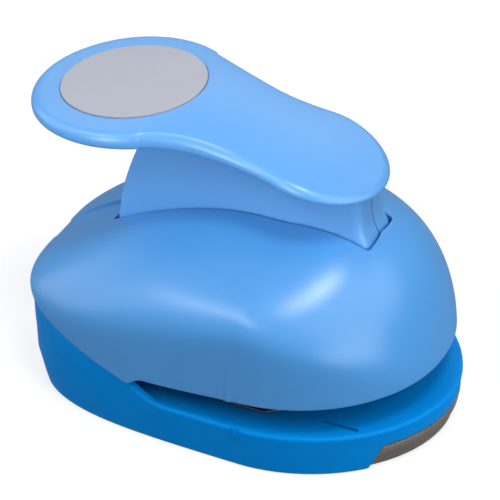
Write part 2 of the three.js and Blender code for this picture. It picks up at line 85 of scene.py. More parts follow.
# The base.
DECK_TOP = 13.3
DECK_BOTTOM = 9.9
BASE_WALL = 2.4
FOOT_INSET = 1.2
REAR_LEAN = 1.4
DIE_X = 11.0
DIE_HOLE_R = 21.0
BASE_TOP = ((-19.5, 17.4), (-18, 16.3), (-16.5, 15.4), (-14.8, 14.5), (-13, 13.8), (-11.2, 13.42),
            (-9.5, 13.3))
DRAFT_HEIGHT = 12.3  # the walls lean out from the foot up to here
RIM_EDGE = 1.1
SEAM_EDGE = 0.35
NOSE_GROOVE = 0.28
SLIT_Y = 28.5

# The lever; its profiles run along X, and the arm's front and width run up Z.
PIVOT = (42.0, 39.5)
ARM_RADIUS = 80.6
PADDLE_REAR = {"x": -36.3, "r": 28.1}
PADDLE_FRONT = {"x": 17.4, "r": 19.35}
PADDLE_NECK = {"x": 3.05, "half": 18.0, "r": 57.0}
RIM_LINE = ((-65.5, 83.3), (-44.2, 85.2), (-34.9, 85.8), (-24.5, 86.2), (-19.7, 86.2), (-13.7, 85.7),
            (-7.5, 84.6), (0.6, 82.6), (10.9, 80.4), (18.2, 78.8), (25.8, 76.6), (32.9, 74.5), (37.5, 73.4))
UNDER_LINE = ((-65.5, 79.4), (-36.5, 81.1), (-17, 81.4), (0, 78.8), (18, 75.4), (29, 73.1), (37.5, 71.2))
CROWN_LINE = ((-65.5, 0.6), (-40, 0.8), (-17, 1.9), (5, 1.8), (20, 1.7), (37.5, 1.0))
ARM_FRONT = ((34, 46), (38.5, 45.2), (40.7, 44.8), (50.5, 37.9), (53, 36.4), (57, 35.9), (60.3, 34.3),
             (67.1, 33.1), (74, 32.2), (78, 31.6))
ARM_WIDTH = ((34, 8.3), (50, 8.4), (57, 8.4), (64, 7.6), (72, 6.9), (78, 6.6))
ARM_BOTTOM = 36.5
ARM_WALL = 1.9
REAR_CORNER = 0.8
FRONT_CORNER = 2.6
HUB_R = 4.3
HUB_HALF = 8.2
CAM = {"x": 11.0, "z": 40.5, "r": 4.0, "half": 5.5}
PIN_R = 2.0
PIN_HALF = 14.0
RIM_ROUND = 2.2
UNDER_ROUND = 1.4
LABEL = {"x": -36.5, "z": 86.6, "r": 20.0, "thick": 0.8, "slope": 0.082}

# The tray.
TRAY_REAR = -20.0
TRAY_HALF = 24.4
TRAY_TOP = 7.5
TRAY_FLOOR = 2.1
TRAY_WALL = 1.2
MOUTH_TOP_HALF = 25.0
MOUTH_BOTTOM_HALF = 27.0
TRAY_STEP_Z = 4.1

# The mechanism.
PLATE_THICK = 1.5
DIE_PLATE_Z = 12.0
GUIDE_PLATE_Z = 15.0
CUTTER_R = 19.0
CUTTER_BOTTOM = 15.4
BLOCK_BOTTOM = 23.3
BLOCK_R = 18.0
WING_BOTTOM = 29.0
WING_TOP = 32.0
PAD_TOP = 36.2
POST_Y = 27.0
POST_R = 2.4
SPRING = {"bottom": 16.9, "top": 28.7, "r": 4.2, "wire": 0.5, "turns": 5}
CUTTER_SCREW_Y = 12.0
RIVET_X = (-24.0, -38.0)
RIVET_Y = 20.0
RIVET_R = 2.0
COLLAR_R = 4.5
PLATE_SCREW = (25.0, 21.5)
HOUSING_SCREWS = ((-50.0, 18.0), (-28.0, 33.0))
BOSS_R = 4.2
BOSS_MEET = 16.2
HEAD_BORE_R = 3.2
SHANK_BORE_R = 1.7
PILOT_R = 1.6
SCREW_R = 1.3
SCREW_HEAD_R = 2.8
SHANK_END = 27.0
COVER_THICK = 1.8
ABOVE = 40.0  # higher than any plate or block, for cutting


# ---------------------------------------------------------------- mesh helpers

def new_object(name, vertices, faces):
    """An object at the origin from points in millimetres."""
    mesh = bpy.data.meshes.new(name)
    mesh.from_pydata((np.asarray(vertices, float) * MM).tolist(), [], faces)
    piece = bpy.data.objects.new(name, mesh)
    bpy.context.scene.collection.objects.link(piece)
    outward(piece)
    return piece


def outward(piece):
    """Turns every face of a closed mesh outwards."""
    work = bmesh.new()
    work.from_mesh(piece.data)
    bmesh.ops.recalc_face_normals(work, faces=work.faces)
    work.to_mesh(piece.data)
    work.free()


def cap_faces(first, count, strips):
    """One flat cap of a ring, or strips that join each of its points to its mirror image."""
    if not strips:
        return [tuple(range(first, first + count))]
    faces = []
    for k in range(count // 2):
        corners = (first + k, first + k + 1, first + count - k - 1, first + (count - k) % count)
        faces.append(tuple(dict.fromkeys(corners)))
    return faces


def ring_mesh(name, rings, closed_rows=False, strips=False):
    """Joins closed rings of equal length; open ends are capped unless the rows close on themselves."""
    rings = np.asarray(rings, float)
    rows, columns = rings.shape[:2]
    faces = []
    for i in range(rows if closed_rows else rows - 1):
        for j in range(columns):
            a, b = i * columns, (i + 1) % rows * columns
            k = (j + 1) % columns
            faces.append((a + j, a + k, b + k, b + j))
    if not closed_rows:
        faces += cap_faces(0, columns, strips)
        faces += cap_faces((rows - 1) * columns, columns, strips)
    return new_object(name, rings.reshape(-1, 3), faces)


def rounded(points, radius, closed=False, steps=4):
    """A polyline with each corner replaced by a curve that starts and ends `radius` away from it."""
    points = [np.asarray(p, float) for p in points]
    count = len(points)
    made = []
    for i, corner in enumerate(points):
        if not closed and i in (0, count - 1):
            made.append(corner)
            continue
        before, after = points[i - 1] - corner, points[(i + 1) % count] - corner
        reach_a = min(radius, 0.45 * np.linalg.norm(before))
        reach_b = min(radius, 0.45 * np.linalg.norm(after))
        start = corner + before / np.linalg.norm(before) * reach_a
        end = corner + after / np.linalg.norm(after) * reach_b
        for k in range(steps + 1):
            t = k / steps
            made.append((1 - t) ** 2 * start + 2 * t * (1 - t) * corner + t * t * end)
    return made


def turned(name, profile, x, y, sides=72):
    """A solid of revolution about a vertical axis; the profile runs from the axis to the axis as (r, z)."""
    vertices, faces, rows = [], [], []
    for r, z in profile:
        if r < 1e-6:
            rows.append([len(vertices)] * sides)
            vertices.append((x, y, z))
            continue
        rows.append(list(range(len(vertices), len(vertices) + sides)))
        for k in range(sides):
            angle = 2 * math.pi * k / sides
            vertices.append((x + r * math.cos(angle), y + r * math.sin(angle), z))
    for low, high in zip(rows, rows[1:]):
        for k in range(sides):
            j = (k + 1) % sides
            corners = dict.fromkeys((low[k], low[j], high[j], high[k]))
            if len(corners) > 2:
                faces.append(tuple(corners))
    return new_object(name, vertices, faces)


def bar(name, x, z, profile, sides=48):
    """A turned solid whose axis runs along Y; the profile is (r, y)."""
    piece = turned(name, profile, 0, 0, sides)
    for vertex in piece.data.vertices:
        across, along, up = vertex.co
        vertex.co = (x * MM + across, up, z * MM - along)
    outward(piece)
    return piece


def slab(name, outline, low, high, edge=0.0):
    """A plan outline raised from low to high, with its edges rounded by `edge`."""
    piece = ring_mesh(name, [[(x, y, z) for x, y in outline] for z in (low, high)])
    if edge > 0:
        round_edges(piece, edge)
    return piece


def side_slab(name, profile, low_y, high_y):
    """A side profile of (x, z) points carried from low_y to high_y."""
    return ring_mesh(name, [[(x, y, z) for x, z in profile] for y in (low_y, high_y)])


def block(name, x0, x1, y0, y1, z0, z1, edge=0.0):
    return slab(name, [(x0, y0), (x1, y0), (x1, y1), (x0, y1)], z0, z1, edge)


def round_edges(piece, width):
    """Rounds every edge whose faces turn by more than 40 degrees."""
    work = bmesh.new()
    work.from_mesh(piece.data)
    edges = [e for e in work.edges if e.is_manifold and e.calc_face_angle(0) > math.radians(40)]
    bmesh.ops.bevel(work, geom=edges, offset=width * MM, segments=3, profile=0.5,
                    affect="EDGES", clamp_overlap=True)
    work.to_mesh(piece.data)
    work.free()


def combine(piece, operation, tools):
    """A boolean of the piece with each tool in turn; the tools are used up."""
    for tool in tools:
        step = piece.modifiers.new("boolean", "BOOLEAN")
        step.operation = operation
        step.solver = "EXACT"
        step.object = tool
        bpy.context.view_layer.update()
        graph = bpy.context.evaluated_depsgraph_get()
        mesh = bpy.data.meshes.new_from_object(piece.evaluated_get(graph))
        piece.modifiers.clear()
        old = piece.data
        piece.data = mesh
        bpy.data.meshes.remove(old)
        bpy.data.objects.remove(tool)
    return piece


def cut(piece, *tools):
    return combine(piece, "DIFFERENCE", tools)


def join(piece, *tools):
    return combine(piece, "UNION", tools)


def place(piece, name, material, body, slot, *nodes, sharp=38):
    """Names the piece, smooths it, gives it its finish and its body, and lets it stand for its CAD nodes."""
    piece.name = name
    piece.data.name = name
    piece.data.materials.clear()
    piece.data.materials.append(material)
    for polygon in piece.data.polygons:
        polygon.material_index = 0
    piece.data.shade_smooth()
    piece.data.set_sharp_from_angle(angle=math.radians(sharp))
    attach(piece, body)
    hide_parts(*nodes)
    return piece


def line_at(line, x):
    """The value at x of a smooth line through (x, value) points."""
    xs, ys = np.array(line).T
    slopes = np.gradient(ys, xs)
    x = np.clip(x, xs[0], xs[-1])
    i = np.clip(np.searchsorted(xs, x) - 1, 0, len(xs) - 2)
    width = xs[i + 1] - xs[i]
    t = (x - xs[i]) / width
    return ((2 * t**3 - 3 * t**2 + 1) * ys[i] + (t**3 - 2 * t**2 + t) * width * slopes[i]
            + (3 * t**2 - 2 * t**3) * ys[i + 1] + (t**3 - t**2) * width * slopes[i + 1])


def smooth_step(low, high, x):
    t = np.clip((x - low) / (high - low), 0, 1)
    return t * t * (3 - 2 * t)


# ---------------------------------------------------------------- outlines and dome

def outline_radius(angle, outline):
    """Distance of a plan outline from its widest point, at a polar angle."""
    c, s = np.cos(angle), np.sin(angle)
    reach = np.where(c > 0, outline["front"], outline["rear"])
    power = np.where(c > 0, outline["front_power"], outline["rear_power"])
    return ((np.abs(c) / reach) ** power + (np.abs(s) / outline["half"]) ** power) ** (-1 / power)


def outline_x(y, inset):
    """X of the base outline, moved in by inset, where it crosses y in front of the widest point."""
    angle = np.linspace(math.pi / 2, 0, 400)
    r = outline_radius(angle, BASE_OUTLINE) - inset
    ys, xs = r * np.sin(angle), WIDE_X + r * np.cos(angle)
    return np.interp(np.abs(y), ys[::-1], xs[::-1])


def around(angle, values):
    """Blends a (front, side, rear) value round the dome."""
    front, side, rear = values
    c = np.cos(angle)
    ahead = np.clip(c, 0, 1) ** TURN_POWER[0]
    behind = np.clip(-c, 0, 1) ** TURN_POWER[1]
    return side + (front - side) * ahead + (rear - side) * behind


def dome_level(angle, level, inset):
    """Plan distance and height on the dome: level 0 is its foot, 1 its shoulder, 2 its top, -1 is 12 mm below."""
    reach = outline_radius(angle, DOME_OUTLINE) + DOME_FLARE * np.clip(-np.cos(angle), 0, 1) ** 1.5 - inset
    wall, top = around(angle, WALL_POWER), around(angle, TOP_POWER)
    turn = np.pi / 2 * (1 - np.clip(level, 0, 1) / 2)
    share = np.sin(turn) ** (2 / wall)
    share = np.where(level > 1, np.sin(np.pi / 4) ** (2 / wall) * (2 - level), share)
    close = np.clip(1 - share**wall, 0, 1) ** (1 / top)
    close = np.where(level > 1, close, np.cos(turn) ** (2 / top))
    crown = DOME_TOP - inset - around(angle, CROWN_DROP) * share ** around(angle, CROWN_POWER)
    height = DOME_FOOT + (crown - DOME_FOOT) * close
    return np.where(level < 0, reach, reach * share), np.where(level < 0, DOME_FOOT + 12 * level, height)


def foot_height(x):
    """Lower edge of the housing: the seam behind the corner, a soft step, then the edge of the throat."""
    behind = SEAM_Z + SEAM_SLOPE * (x - SEAM_X)
    ahead = THROAT_EDGE + THROAT_SLOPE * (x - SEAM_X)
    rise = np.clip((x - SEAM_X) / THROAT_STEP, 0, 1)
    step = SEAM_Z + (THROAT_EDGE + THROAT_SLOPE * THROAT_STEP - SEAM_Z) * np.sin(np.pi / 2 * rise)
    return np.where(x < SEAM_X, behind, np.where(rise < 1, step, ahead))


# ---------------------------------------------------------------- upper housing

def slot_corner(sign, steps=7):
    """The rounded corner of the slot, front (1) or rear (-1), on the left side."""
    cx = SLOT_FRONT - SLOT_CORNER if sign > 0 else SLOT_REAR + SLOT_CORNER
    cy = SLOT_HALF - SLOT_CORNER
    turns = np.linspace(0, np.pi / 2, steps)
    if sign < 0:
        turns = np.pi - turns[::-1]
    return [(cx + SLOT_CORNER * math.cos(a), cy + SLOT_CORNER * math.sin(a)) for a in turns]


RIB_X = 10.5
RIB_RISE = 0.4
# Distances from the middle of the columns behind the slot, close together at the channel's edge.
LANES = (0, 0.9, 1.8, 2.7, 3.5, 4.1, 4.5, 4.7, 4.8, 4.87, 4.93, 4.98, 5.04, 5.12, 5.25, 5.5, 6.0, 6.7)


def housing_columns():
    """Slot ends and foot angles of the columns of the left half, from the front round to the rear."""
    rim = [(SLOT_FRONT, 0)] + slot_corner(1) + [(x, SLOT_HALF) for x in np.linspace(34, -38, 200)]
    rim = np.array(rim + [(SLOT_REAR + SLOT_CORNER, SLOT_HALF)])
    rim_angle = np.arctan2(rim[:, 1], rim[:, 0] - WIDE_X)
    rim_reach = np.hypot(rim[:, 0] - WIDE_X, rim[:, 1])
    fine = np.linspace(0, rim_angle[-1], 4000)
    reach, _ = dome_level(fine, np.zeros_like(fine), 0)
    inner = np.interp(fine, rim_angle, rim_reach)
    travel = np.abs(np.gradient(reach)) + reach * (fine[1] - fine[0]) + 0.8 * np.hypot(
        np.gradient(inner), inner * (fine[1] - fine[0]))
    rib = np.exp(-(((WIDE_X + reach * np.cos(fine)) - RIB_X) / 1.2) ** 2)
    travel = np.cumsum(travel * (1 + 4 * rib))
    angles = np.interp(np.linspace(travel[0], travel[-1], 205), travel, fine)
    starts = [(WIDE_X + r * math.cos(a), r * math.sin(a))
              for a, r in zip(angles, np.interp(angles, rim_angle, rim_reach))]
    feet = list(angles)
    corner = slot_corner(-1, 8)[1:]
    side_foot = float(dome_level(np.array(angles[-1]), np.array(0.0), 0)[0]) * math.sin(angles[-1])
    ends = corner + [(SLOT_REAR, y) for y in LANES[::-1]]
    targets = list(np.linspace(side_foot, corner[-1][1], 8)[1:]) + list(LANES[::-1])
    fine = np.linspace(np.pi / 2, np.pi, 3000)
    reach, _ = dome_level(fine, np.zeros_like(fine), 0)
    feet += [float(np.interp(-y, -reach * np.sin(fine), fine)) for y in targets]
    return np.array(starts + ends), np.array(feet)


def surface_lines(starts, feet, inset):
    """For each column, points on the dome above the straight plan line from its foot to the slot."""
    level = np.concatenate([np.linspace(-1, 0, 12)[:-1], np.linspace(0, 1, 90)[:-1], np.linspace(1, 2, 70)])
    level = np.broadcast_to(level, (len(feet), len(level)))
    reach, _ = dome_level(feet, np.zeros_like(feet), 0)
    foot = np.stack([WIDE_X + reach * np.cos(feet), reach * np.sin(feet)], -1)
    along = foot - starts
    start_angle = np.arctan2(starts[:, 1], starts[:, 0] - WIDE_X)
    low = np.broadcast_to(np.minimum(start_angle, feet)[:, None] - 1e-4, level.shape).copy()
    high = np.broadcast_to(np.maximum(start_angle, feet)[:, None] + 1e-4, level.shape).copy()

    def side(angle):
        r, z = dome_level(angle, level, inset)
        px, py = WIDE_X + r * np.cos(angle), r * np.sin(angle)
        cross = (px - starts[:, :1]) * along[:, 1:] - (py - starts[:, 1:]) * along[:, :1]
        return cross, np.stack([px, py, z], -1)

    for _ in range(40):
        middle = (low + high) / 2
        cross, points = side(middle)
        low = np.where(cross > 0, middle, low)
        high = np.where(cross > 0, high, middle)
    if np.median(np.abs(cross)) > 1:
        raise RuntimeError("housing columns did not settle")
    return points, along


def trim(points, start, along):
    """The part of a line of surface points between the foot edge and the slot."""
    over = points[:, 2] - foot_height(points[:, 0])
    first = int(np.argmax(over > 0))
    t = over[first - 1] / (over[first - 1] - over[first])
    bottom = points[first - 1] + t * (points[first] - points[first - 1])
    ahead = (points[:, :2] - start) @ along
    last = int(np.argmax(ahead <= 0))
    t = ahead[last - 1] / (ahead[last - 1] - ahead[last])
    top = points[last - 1] + t * (points[last] - points[last - 1])
    top[:2] = start
    return np.vstack([bottom, points[first:last], top])


def sink_channel(points, half, depth):
    """Lowers the points of one line to the floor of the rear channel."""
    floor = line_at(CHANNEL_FLOOR, points[:, 0]) - depth
    inside = 1 - smooth_step(half - 0.15, half + 0.15, np.abs(points[:, 1]))
    inside = inside * smooth_step(-62.4, -61.0, points[:, 0]) * (points[:, 0] < SLOT_REAR + 1)
    out = points.copy()
    out[:, 2] -= inside * np.maximum(points[:, 2] - floor, 0)
    return out


def raise_rib(points):
    """The small upright rib on the lower edge of the housing's side."""
    across = 1 - smooth_step(0.55, 0.95, np.abs(points[:, 0] - RIB_X))
    up = 1 - smooth_step(26.2, 27.2, points[:, 2])
    out = points.copy()
    out[:, 1] += RIB_RISE * across * up
    return out


def spaced(points, count, head, tail):
    """Points along a line at equal distances, from `head` after its start to `tail` before its end."""
    length = np.concatenate([[0], np.cumsum(np.linalg.norm(np.diff(points, axis=0), axis=1))])
    at = np.linspace(head, length[-1] - tail, count)
    return np.stack([np.interp(at, length, points[:, k]) for k in range(3)], -1)


def corner_curve(start, corner, end):
    t = np.linspace(0, 1, 5)[1:-1, None]
    return (1 - t) ** 2 * start + 2 * t * (1 - t) * corner + t * t * end


def housing_loop(start, along, outer_line, inner_line):
    """One closed loop through the shell: foot edge, outer face, lip of the slot, inner face."""
    outer_line = raise_rib(sink_channel(trim(outer_line, start, along), CHANNEL_HALF, 0))
    inner_line = sink_channel(trim(inner_line, start, along), CHANNEL_HALF + WALL, WALL)
    inner_line[-1, 2] = min(inner_line[-1, 2], outer_line[-1, 2] - 1.6)
    outer = spaced(outer_line, 76, FOOT_EDGE, LIP_EDGE)
    inner = spaced(inner_line, 26, 0.02, 0.02)
    foot, lip = outer_line[0], outer_line[-1]
    to_inner = inner[0] - foot
    under = foot + to_inner / np.linalg.norm(to_inner) * FOOT_EDGE
    below = lip - np.array([0, 0, LIP_EDGE])
    return np.vstack([under, corner_curve(under, foot, outer[0]), outer,
                      corner_curve(outer[-1], lip, below), below, inner[::-1]])


def housing_shell():
    starts, feet = housing_columns()
    outer, along = surface_lines(starts, feet, 0)
    inner, _ = surface_lines(starts, feet, WALL)
    loops = [housing_loop(starts[i], along[i], outer[i], inner[i]) for i in range(len(feet))]
    mirrored = [loop * np.array([1, -1, 1]) for loop in loops[1:-1]][::-1]
    return ring_mesh("housing_shell", loops + mirrored, closed_rows=True)


def upper_housing(material):
    shell = housing_shell()
    return place(shell, "upper_housing_shell", material, "frame", "housing_plastic", "upper_housing", sharp=50)


# ---------------------------------------------------------------- base

def base_top(x):
    behind = SEAM_Z - GAP + SEAM_SLOPE * (x - SEAM_X)
    return np.where(x < SEAM_X, behind, line_at(BASE_TOP, x))


def base_loop(angle):
    """One closed loop through the base: foot, outer wall, rim, deck, die hole, underside, inner wall."""
    c, s = math.cos(angle), math.sin(angle)
    reach = float(outline_radius(np.array(angle), BASE_OUTLINE))
    x = WIDE_X + reach * c
    top = float(base_top(np.array(x)))
    rear = float(smooth_step(-9, -16, x))
    edge = RIM_EDGE * (1 - rear) + SEAM_EDGE * rear
    nose = 1 - float(smooth_step(31, 33.5, abs(math.degrees(angle)))) if c > 0 else 0.0
    groove = NOSE_GROOVE * nose
    lean = FOOT_INSET + REAR_LEAN * max(0.0, -c) ** 2
    low = reach - lean
    loop = [(low - 0.8, 0)]
    loop += [(low - 0.23, 0.07), (low - 0.02, 0.3), (low + 0.06, 0.8)]
    for z in (2.4, 4.2, 6, 7.8, 9.4, 10.6):
        loop.append((low + lean * z / DRAFT_HEIGHT, z))
    shift = top - DECK_TOP
    for z, depth in ((11.0, 0), (11.15, 0.1), (11.3, 1), (11.45, 0.1), (11.6, 0)):
        loop.append((low + lean * z / DRAFT_HEIGHT - groove * depth, z + shift * 0.5))
    shoulder = max(top - edge, 11.8 + shift * 0.6)
    edge = top - shoulder if top - shoulder < edge else edge
    for t in np.linspace(0, 1, 6):
        loop.append(((1 - t) ** 2 * reach + 2 * t * (1 - t) * reach + t * t * (reach - edge),
                     (1 - t) ** 2 * shoulder + 2 * t * (1 - t) * top + t * t * top))
    loop.append((reach - BASE_WALL + 0.3, top))
    loop.append((reach - BASE_WALL, top - 0.3 * rear))
    loop.append((reach - BASE_WALL - 0.15, DECK_TOP + 0.2 * rear))
    offset = DIE_X - WIDE_X
    hole = offset * c + math.sqrt(DIE_HOLE_R**2 - (offset * s) ** 2)
    for t in np.linspace(0.06, 1, 9):
        loop.append(((reach - BASE_WALL - 0.15) * (1 - t) + (hole + 0.3) * t, DECK_TOP))
    loop += [(hole + 0.08, DECK_TOP - 0.08), (hole, DECK_TOP - 0.3), (hole, DECK_BOTTOM)]
    inner = reach - FOOT_INSET - BASE_WALL
    for t in np.linspace(0.15, 1, 6):
        loop.append((hole * (1 - t) + (inner + 1.0) * t, DECK_BOTTOM))
    loop += [(inner + 0.5, 5), (inner, 0.3), (inner + 0.2, 0)]
    return [(WIDE_X + r * c, r * s, z) for r, z in loop]


def base_angles():
    """Polar angles spaced evenly along the base outline, closer together at the corners of the seam."""
    fine = np.linspace(0, 2 * np.pi, 6000)
    reach = outline_radius(fine, BASE_OUTLINE)
    x = WIDE_X + reach * np.cos(fine)
    travel = np.hypot(np.gradient(reach), reach * (fine[1] - fine[0]))
    travel = np.cumsum(travel * (1 + 1.5 * np.exp(-(((x + 15) / 6) ** 2))))
    return np.interp(np.linspace(travel[0], travel[-1], 341)[:-1], travel, fine)


def mouth_prism():
    """The opening for the tray: a trapezium with slanted ends, cut through the nose."""
    low, top = -3.0, TRAY_TOP + GAP
    slant = (MOUTH_BOTTOM_HALF - MOUTH_TOP_HALF) / TRAY_TOP
    wide, narrow = MOUTH_BOTTOM_HALF + GAP - slant * low, MOUTH_BOTTOM_HALF + GAP - slant * top
    corners = rounded([(-wide, low), (wide, low), (narrow, top), (-narrow, top)], 1.6, closed=True, steps=5)
    return ring_mesh("mouth", [[(x, y, z) for y, z in corners] for x in (TRAY_REAR - 8, 70)])


def plate_outline(grow, corner=1.5):
    half = [(36 + grow, 17), (17, 32 + grow), (-16 - grow, 32 + grow), (-21 - grow, 27 + grow),
            (-42 - grow, 27 + grow)]
    return rounded(half + [(x, -y) for x, y in half[::-1]], corner, closed=True, steps=5)


def cylinder(name, r, low, high, x, y, sides=48):
    return turned(name, [(0, low), (r, low), (r, high), (0, high)], x, y, sides)


def stepped_bore(name, first_r, second_r, low, step, high, x, y):
    """A cutter for a bore that changes from its first radius to its second at the step."""
    profile = [(0, low), (first_r, low), (first_r, step), (second_r, step), (second_r, high), (0, high)]
    return turned(name, profile, x, y, 48)


def base_details():
    """The raised dot beside each slit, and the small rib on each side of the rim."""
    details = []
    for side in (1, -1):
        dot = rounded([(0, 6.2), (0.45, 6.2), (0.45, 7.0), (0, 7.0)], 0.2)
        details.append(turned("dot", dot, 44.15, side * 28.75, 16))
    for side in (1, -1):
        near, far = sorted((side * 41.0, side * 41.9))
        details.append(block("rib", 11.8, 13.4, near, far, 10.4, 13.9, 0.2))
    return details


def base_piece(material):
    base = ring_mesh("base", [base_loop(a) for a in base_angles()], closed_rows=True)
    slits = [block("slit", 32, 42.9, side * SLIT_Y - 0.6, side * SLIT_Y + 0.6, 10.4, 15, 0.2)
             for side in (1, -1)]
    pocket = slab("pocket", plate_outline(GAP), DIE_PLATE_Z - GAP, 30)
    cut(base, mouth_prism(), pocket, *slits)
    bosses = [cylinder("boss", BOSS_R, COVER_THICK + GAP, BOSS_MEET, x, side * y)
              for x, y in HOUSING_SCREWS for side in (1, -1)]
    join(base, *bosses, *base_details())
    bores = [stepped_bore("bore", HEAD_BORE_R, SHANK_BORE_R, -1, DECK_BOTTOM, 20, x, side * y)
             for x, y in HOUSING_SCREWS for side in (1, -1)]
    cut(base, *bores)
    return place(base, "base_shell", material, "frame", "base_plastic", "base")


# ---------------------------------------------------------------- lever

def paddle_outline(step=0.8):
    """The paddle from above: two round lobes joined by hollow arcs at the neck."""
    neck_y = PADDLE_NECK["half"] + PADDLE_NECK["r"]
    arcs = []
    front_turn = math.atan2(neck_y, PADDLE_NECK["x"] - PADDLE_FRONT["x"])
    rear_turn = math.atan2(neck_y, PADDLE_NECK["x"] - PADDLE_REAR["x"])
    arcs.append((PADDLE_FRONT["x"], 0, PADDLE_FRONT["r"], 0, front_turn))
    arcs.append((PADDLE_NECK["x"], neck_y, PADDLE_NECK["r"], front_turn - math.pi, rear_turn - math.pi))
    arcs.append((PADDLE_REAR["x"], 0, PADDLE_REAR["r"], rear_turn, math.pi))
    half = []
    for x, y, r, first, last in arcs:
        count = max(4, int(abs(last - first) * r / step))
        for k in range(count):
            turn = first + (last - first) * k / count
            half.append((x + r * math.cos(turn), y + r * math.sin(turn)))
    half.append((PADDLE_REAR["x"] - PADDLE_REAR["r"], 0.0))
    return np.array(half + [(x, -y) for x, y in half[-2:0:-1]])


def paddle():
    """The crowned paddle with its rounded rim, as rings that close in from the outline to the spine."""
    outline = paddle_outline()
    spine = np.stack([np.clip(outline[:, 0], PADDLE_REAR["x"], PADDLE_FRONT["x"]), 0 * outline[:, 0]], -1)
    width = np.linalg.norm(outline - spine, axis=1)

    def ring(inset, top, height):
        share = inset / width
        place_at = outline + (spine - outline) * share[:, None]
        x = place_at[:, 0]
        crown = line_at(CROWN_LINE, x) * (1 - (1 - share) ** 2)
        upper = line_at(RIM_LINE, x) + crown
        lower = line_at(UNDER_LINE, x) + 0.5 * (1 - (1 - share) ** 2)
        thick = line_at(RIM_LINE, x) - line_at(UNDER_LINE, x)
        z = upper - height * thick if top else lower + height * thick
        return np.stack([x, place_at[:, 1], z], -1)

    rings = []
    inner_steps = np.linspace(0, 1, 26)
    for share in inner_steps[::-1][:-1]:
        rings.append(ring(RIM_ROUND + share * (width * 0.99 - RIM_ROUND), True, 0.0))
    for turn in np.linspace(0, 90, 9):
        s, c = math.sin(math.radians(turn)), math.cos(math.radians(turn))
        rings.append(ring(RIM_ROUND * (1 - s), True, 0.55 * (1 - c)))
    for turn in np.linspace(0, 90, 6):
        s, c = math.sin(math.radians(turn)), math.cos(math.radians(turn))
        rings.append(ring(UNDER_ROUND * (1 - c), False, 0.36 * (1 - s)))
    for share in inner_steps[1:]:
        rings.append(ring(UNDER_ROUND + share * (width * 0.99 - UNDER_ROUND), False, 0.0))
    return ring_mesh("paddle", rings, strips=True)


def arm_section(height_share, inset):
    """One closed ring of the arm; height_share runs from its bottom to inside the paddle.

    The arm's ends depend on the height and its top on the distance along it, so each corner is settled in turns.
    """
    front_corner = FRONT_CORNER - inset
    unit = [(0, -1), (1, -1), (1, 1), (0, 1)]
    ring = []
    turns = 6
    for corner, (u, v) in enumerate(unit):
        r = front_corner if u else REAR_CORNER
        for k in range(turns + 1):
            a = -math.pi + math.pi / 2 * (corner + k / turns)
            ring.append((u, v, r * (1 if u == 0 else -1), math.cos(a) * r, math.sin(a) * r))
    made = []
    for u, v, r, across, side in ring:
        x, z = (30.0 if u else -35.0), 60.0
        for _ in range(25):
            top = float(line_at(UNDER_LINE, x)) + 1.6 - inset
            z = ARM_BOTTOM + height_share * (top - ARM_BOTTOM)
            rear = PIVOT[0] - math.sqrt(ARM_RADIUS**2 - (z - PIVOT[1]) ** 2) + inset
            front = float(line_at(ARM_FRONT, z)) - inset
            x = (rear + REAR_CORNER if u == 0 else front - front_corner) + across
        half = float(line_at(ARM_WIDTH, z)) - inset
        under = float(line_at(UNDER_LINE, x))
        flare = 1.6 * max(0.0, 1 - (under - z) / 3.0) ** 2 if z < under else 1.6
        y = v * (half + (flare if inset == 0 else 0) - abs(r)) + side
        made.append((x, y, z))
    return made


def arm():
    shares = list(np.linspace(0, 0.86, 22)) + list(np.linspace(0.88, 1, 9))
    return ring_mesh("arm", [arm_section(s, 0) for s in shares])


def bar_profile(r, half):
    return [(0, -half), (r, -half), (r, half), (0, half)]


def lever(material):
    body = arm()
    hollow = ring_mesh("hollow", [arm_section(s, ARM_WALL) for s in np.linspace(-0.3, 0.93, 16)])
    barrel = bar("barrel", *PIVOT, bar_profile(HUB_R, HUB_HALF))
    nose = bar("nose", CAM["x"], CAM["z"], rounded(bar_profile(CAM["r"], CAM["half"]), 0.4))
    web = block("web", 8.6, 13.4, -5.0, 5.0, 40.5, 78, 0.3)
    cut(body, hollow)
    join(body, barrel, web, nose)
    groove = block("groove", 20, 50, -0.22, 0.22, 46, 69.6)
    keep = side_slab("keep", [(15, 40), (29.6, 40), (32.6, 56), (30.6, 72), (15, 72)], -1, 1)
    cut(groove, keep)
    pin_hole = bar("pin_hole", *PIVOT, bar_profile(PIN_R + GAP, 12))
    cut(body, groove, pin_hole)
    top = paddle()
    recess = label_blank("recess", LABEL["r"] + 0.25, -LABEL["thick"] - 0.1, 4)
    join(top, body)
    cut(top, recess)
    return place(top, "lever_body", material, "lever_arm", "lever_plastic", "lever", sharp=42)


def label_blank(name, r, low, high, edge=0.0):
    """A disc along the slope of the paddle under the label; low and high are measured from the label's face."""
    profile = [(0, low), (r, low), (r, high), (0, high)]
    if edge:
        profile = rounded(profile, edge)
    piece = turned(name, profile, 0, 0, 128)
    lean = math.atan(LABEL["slope"])
    for vertex in piece.data.vertices:
        x, y, z = vertex.co
        vertex.co = (LABEL["x"] * MM + x * math.cos(lean) - z * math.sin(lean), y,
                     LABEL["z"] * MM + z * math.cos(lean) + x * math.sin(lean))
    outward(piece)
    return piece


def label_disc(material):
    disc = label_blank("label", LABEL["r"], -LABEL["thick"], 0, edge=0.22)
    return place(disc, "label_film", material, "lever_arm", "label_film", "label_disc")


# ---------------------------------------------------------------- tray

